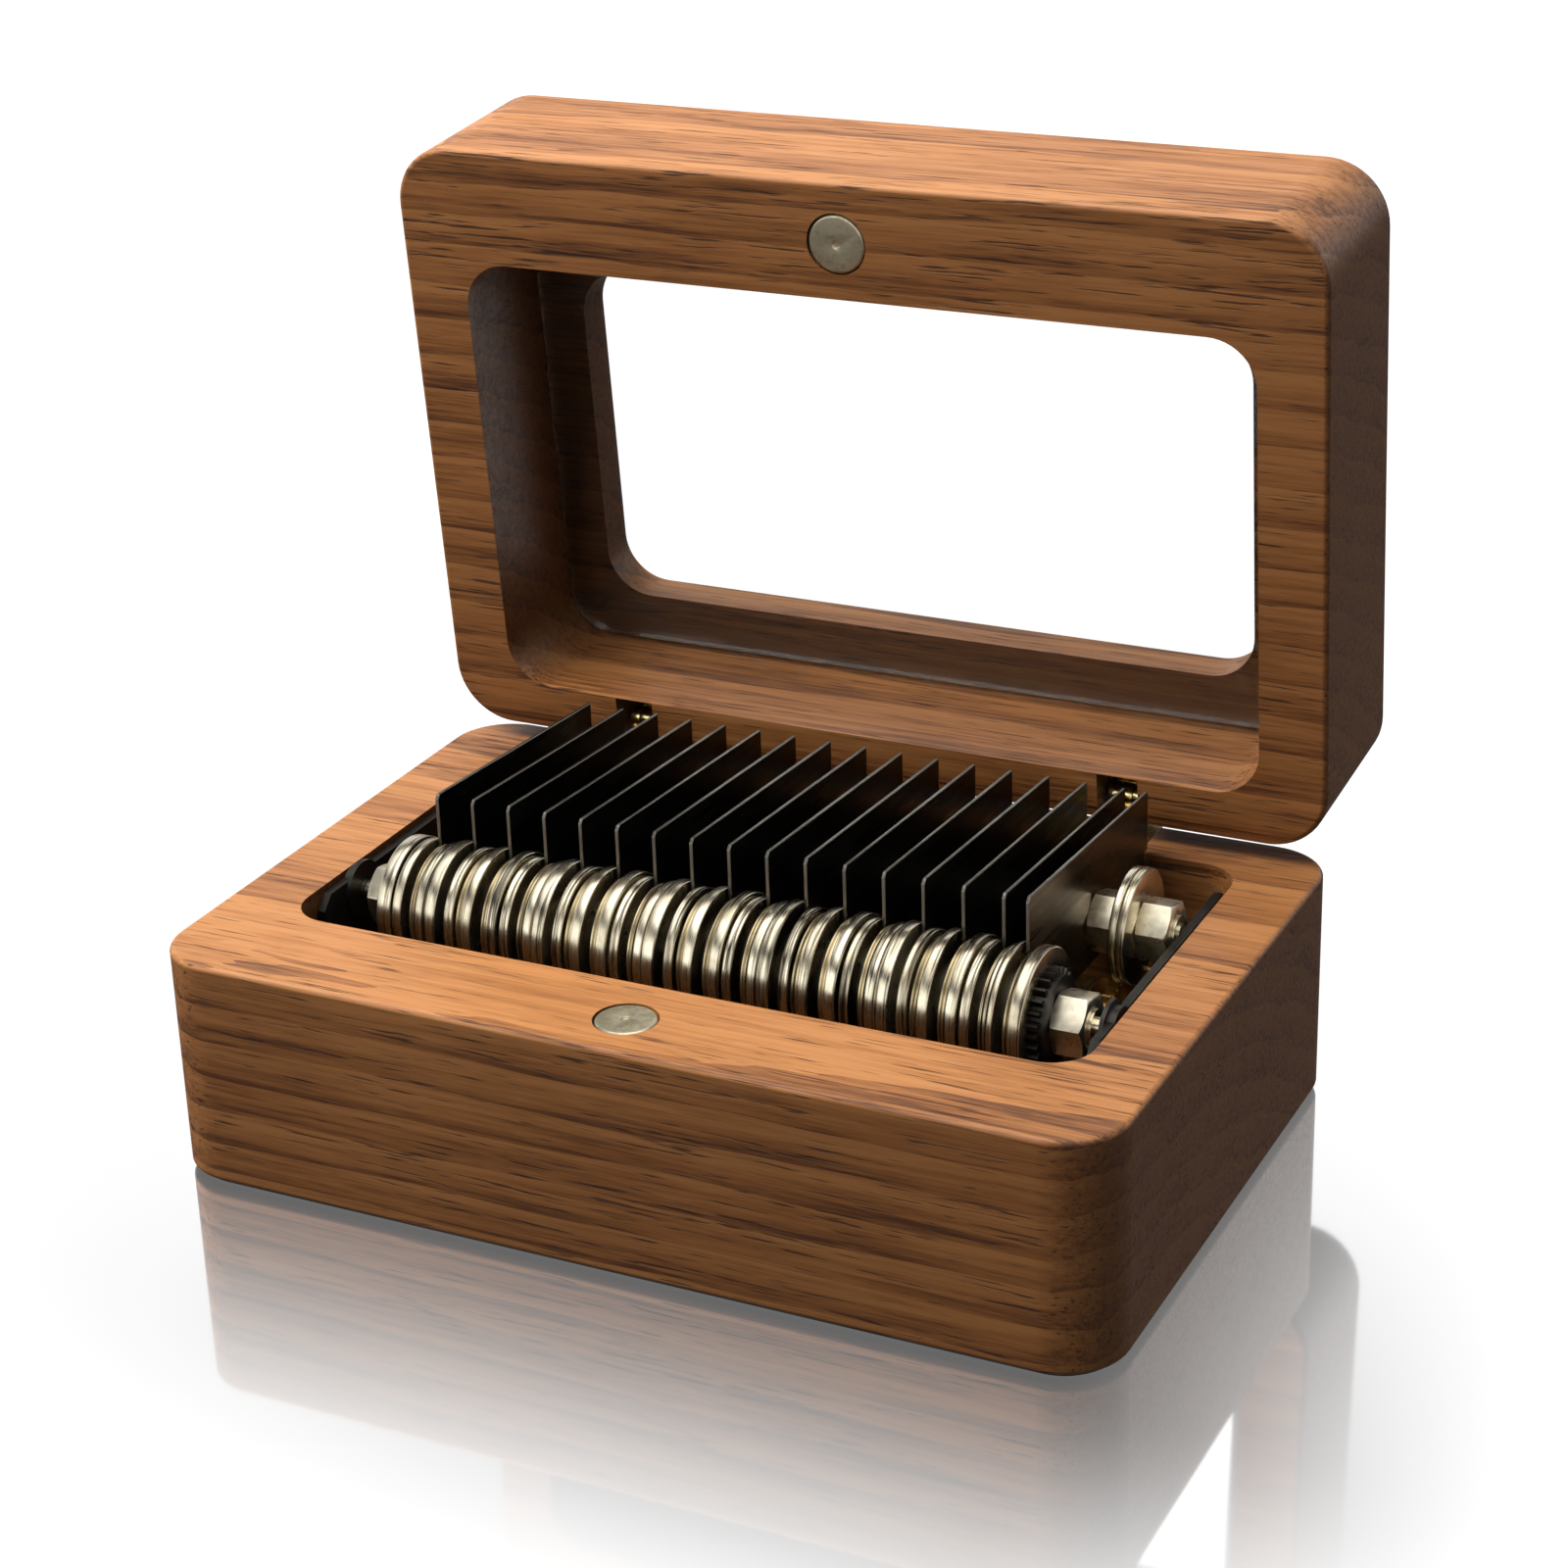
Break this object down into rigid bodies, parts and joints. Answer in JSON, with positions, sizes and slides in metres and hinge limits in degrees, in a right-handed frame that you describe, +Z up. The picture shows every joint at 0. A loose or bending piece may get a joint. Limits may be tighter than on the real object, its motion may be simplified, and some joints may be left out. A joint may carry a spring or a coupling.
{
  "type": "wind-up music box",
  "caption": "Walnut wind-up music box, glazed lid standing open on brass hinges over a comb of dark steel plates and a driven disc stack.",
  "frame": {"origin": "centre of the flat underside of the case, on the felt", "axes": "+X to the user's right along the long side, +Y to the rear where the lid is hinged, +Z up"},
  "size_m": [0.152, 0.1123, 0.1308],
  "materials": {
    "walnut": "oiled open-pored walnut, fine straight grain",
    "felt": "pressed black felt",
    "satin_nickel": "satin nickel plate, turned face",
    "hinge_brass": "polished brass",
    "black_steel": "blackened spring steel with bright cut edges",
    "bright_steel": "turned nickel-plated steel",
    "warm_steel": "turned steel with a warm straw tint",
    "dark_steel": "oil-darkened steel",
    "motor_brass": "turned brass, lightly tarnished",
    "spring_steel": "blue-grey spring strip",
    "clear_glass": "clear float glass, polished edges"
  },
  "bodies": {
    "base": {"base_block": "walnut", "base_felt": "felt", "base_magnet": "satin_nickel", "hinge_base_leaves": "hinge_brass", "hinge_pins": "hinge_brass", "hinge_base_screws": "hinge_brass", "bedplate": "black_steel", "left_cheek": "black_steel", "right_cheek": "black_steel", "frame_screws": "dark_steel", "shaft_bushes": "motor_brass", "train_studs": "bright_steel", "comb_rod": "bright_steel", "comb_spacers": "dark_steel", "comb_washers": "bright_steel", "comb_nuts": "bright_steel", "key_escutcheon": "motor_brass", "clutch_spring": "spring_steel", "comb_plate_01": "black_steel", "comb_plate_02": "black_steel", "comb_plate_03": "black_steel", "comb_plate_04": "black_steel", "comb_plate_05": "black_steel", "comb_plate_06": "black_steel", "comb_plate_07": "black_steel", "comb_plate_08": "black_steel", "comb_plate_09": "black_steel", "comb_plate_10": "black_steel", "comb_plate_11": "black_steel", "comb_plate_12": "black_steel", "comb_plate_13": "black_steel", "comb_plate_14": "black_steel", "comb_plate_15": "black_steel", "comb_plate_16": "black_steel", "comb_plate_17": "black_steel"},
    "lid": {"lid_frame": "walnut", "glass_pane": "clear_glass", "lid_magnet": "satin_nickel", "hinge_lid_leaves": "hinge_brass", "hinge_lid_screws": "hinge_brass"},
    "winding": {"winding_arbor": "bright_steel", "winding_key": "hinge_brass"},
    "spring_barrel": {"barrel_drum": "motor_brass", "barrel_cover": "motor_brass", "mainspring": "spring_steel"},
    "disc_stack": {"stack_rod": "bright_steel", "stack_nuts": "bright_steel", "stack_rings_large": "bright_steel", "stack_rings_medium": "bright_steel", "stack_rings_small": "warm_steel", "stack_slot_washers": "dark_steel", "stack_end_washers": "bright_steel", "pin_drums": "dark_steel", "stack_gear": "dark_steel"},
    "idler": {"idler_gear": "dark_steel"},
    "second_wheel_set": {"second_wheel": "dark_steel"},
    "governor": {"governor_fan": "motor_brass"}
  },
  "joints": [
    {"name": "lid_hinge", "type": "hinge", "parent": "base", "child": "lid", "pos_m": [0, 0.0442, 0.0391], "axis": [1, 0, 0], "range_deg": [0, 85]},
    {"name": "key_winding", "type": "hinge", "parent": "base", "child": "winding", "pos_m": [-0.07, 0.014, 0.0156], "axis": [1, 0, 0], "range_deg": [0, 1890]},
    {"name": "stack_turn", "type": "hinge", "parent": "base", "child": "disc_stack", "pos_m": [0, -0.0103, 0.031], "axis": [1, 0, 0], "continuous": true},
    {"name": "barrel_turn", "type": "hinge", "parent": "base", "child": "spring_barrel", "pos_m": [0.03, 0.014, 0.0156], "axis": [1, 0, 0], "continuous": true},
    {"name": "idler_turn", "type": "hinge", "parent": "base", "child": "idler", "pos_m": [0.0486, -0.0004, 0.02257], "axis": [1, 0, 0], "continuous": true},
    {"name": "second_wheel_turn", "type": "hinge", "parent": "base", "child": "second_wheel_set", "pos_m": [0.05, 0.026, 0.0156], "axis": [1, 0, 0], "continuous": true},
    {"name": "governor_turn", "type": "hinge", "parent": "base", "child": "governor", "pos_m": [0.054, 0.0294, 0.02606], "axis": [1, 0, 0], "continuous": true}
  ],
  "couplings": [
    {"joint": "barrel_turn", "follows": "stack_turn", "ratio": 0.68421},
    {"joint": "idler_turn", "follows": "stack_turn", "ratio": -1},
    {"joint": "second_wheel_turn", "follows": "stack_turn", "ratio": -2.6},
    {"joint": "governor_turn", "follows": "stack_turn", "ratio": 11.7}
  ]
}
